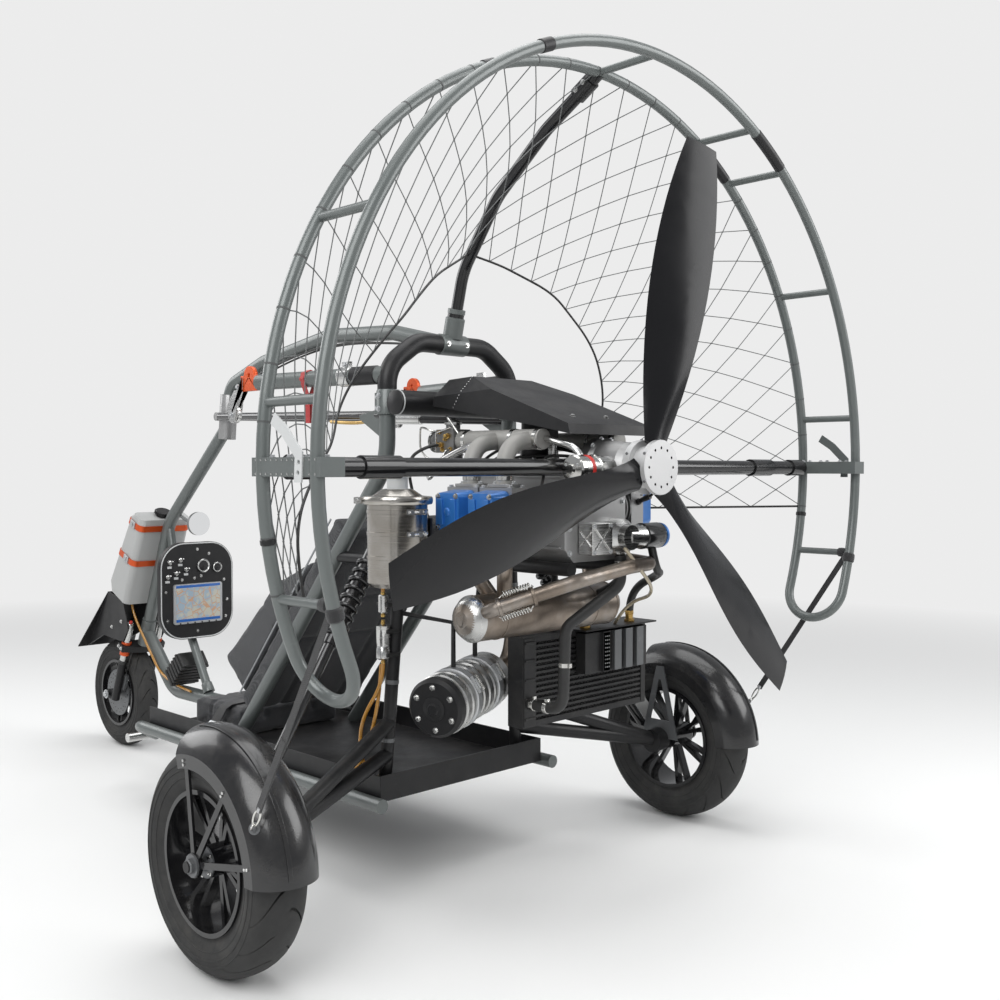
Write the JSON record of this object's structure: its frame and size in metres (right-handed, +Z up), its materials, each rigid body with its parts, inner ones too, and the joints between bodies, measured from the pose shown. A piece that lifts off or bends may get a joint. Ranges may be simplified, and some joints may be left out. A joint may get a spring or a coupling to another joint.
{
  "type": "paramotor trike",
  "caption": "Three-wheeled powered paraglider trike: tube frame, reclined seat, flat engine and caged pusher propeller, with wing hang points.",
  "frame": {"origin": "on the ground, under the middle of the object's box", "axes": "+X to the right, +Y forward, +Z up"},
  "size_m": [1.878, 2.7924, 2.0122],
  "materials": {
    "frame_grey": "satin",
    "black_metal": "satin",
    "black_gloss": "gloss",
    "black_plastic": "matte",
    "tyre_rubber": "matte",
    "cast_alloy": "cast",
    "bright_alloy": "machined",
    "stainless": "brushed",
    "exhaust_steel": "heat tinted",
    "cover_blue": "satin",
    "anodised_orange": "anodised",
    "tank_white": "translucent",
    "seat_fabric": "woven",
    "display_glass": "gloss",
    "mirror_back": "satin",
    "blade_black": "satin",
    "hose_rubber": "matte"
  },
  "bodies": {
    "chassis": {"belly_pan": "black_metal", "cage_arms": "black_metal", "cage_blocks": "frame_grey", "cage_hoops": "frame_grey", "cage_post": "black_metal", "carburettors": "cast_alloy", "coolant_hose": "hose_rubber", "crankcase": "cast_alloy", "cylinder_heads": "cast_alloy", "cylinders": "cast_alloy", "down_tube": "frame_grey", "engine_accessories": "cast_alloy", "engine_cradle": "black_metal", "exhaust": "exhaust_steel", "fender_brackets": "black_metal", "fenders": "black_gloss", "foot_pegs": "bright_alloy", "frame_clamp": "black_metal", "front_stem": "frame_grey", "fuel_tank": "tank_white", "gearbox": "cast_alloy", "hang_fittings": "anodised_orange", "instrument_panel": "black_plastic", "intake_cover": "black_plastic", "intake_runners": "cast_alloy", "lower_braces": "black_metal", "mirror": "mirror_back", "oil_cooler": "black_metal", "oil_tank": "stainless", "oil_tank_bracket": "black_metal", "panel_display": "display_glass", "panel_post": "frame_grey", "radiator": "black_metal", "radiator_shelf": "bright_alloy", "rear_arms": "black_metal", "rocker_covers": "cover_blue", "roll_arch": "black_metal", "seat_back": "seat_fabric", "seat_base": "seat_fabric", "seat_bolsters": "seat_fabric", "side_rails": "frame_grey", "silencer": "bright_alloy", "silencer_cap": "black_metal", "spine_tube": "frame_grey", "struts": "black_metal", "tank_straps": "anodised_orange", "uprights": "frame_grey", "wing_arms": "frame_grey"},
    "steering": {"fork_crown": "black_metal", "fork_stanchions": "bright_alloy", "fork_sliders": "black_metal", "visor": "black_plastic"},
    "front_wheel": {"front_wheel": "black_metal", "front_tyre": "tyre_rubber"},
    "rear_wheel_left": {"rear_wheel_left": "black_metal", "rear_tyre_left": "tyre_rubber"},
    "rear_wheel_right": {"rear_wheel_right": "black_metal", "rear_tyre_right": "tyre_rubber"},
    "propeller": {"prop_hub": "bright_alloy", "prop_blades": "blade_black"}
  },
  "joints": [
    {"name": "steering", "type": "hinge", "parent": "chassis", "child": "steering", "pos_m": [0, 1.12525, 0.1964], "axis": [0, -0.3907, 0.9205], "range_deg": [-30, 30]},
    {"name": "front_wheel", "type": "hinge", "parent": "steering", "child": "front_wheel", "pos_m": [0, 1.1905, 0.205], "axis": [1, 0, 0], "continuous": true},
    {"name": "rear_wheel_left", "type": "hinge", "parent": "chassis", "child": "rear_wheel_left", "pos_m": [-0.795, -0.8495, 0.245], "axis": [1, 0, 0], "continuous": true},
    {"name": "rear_wheel_right", "type": "hinge", "parent": "chassis", "child": "rear_wheel_right", "pos_m": [0.795, -0.8495, 0.245], "axis": [1, 0, 0], "continuous": true},
    {"name": "propeller", "type": "hinge", "parent": "chassis", "child": "propeller", "pos_m": [0, -1.3955, 1.072], "axis": [0, 1, 0], "continuous": true}
  ]
}
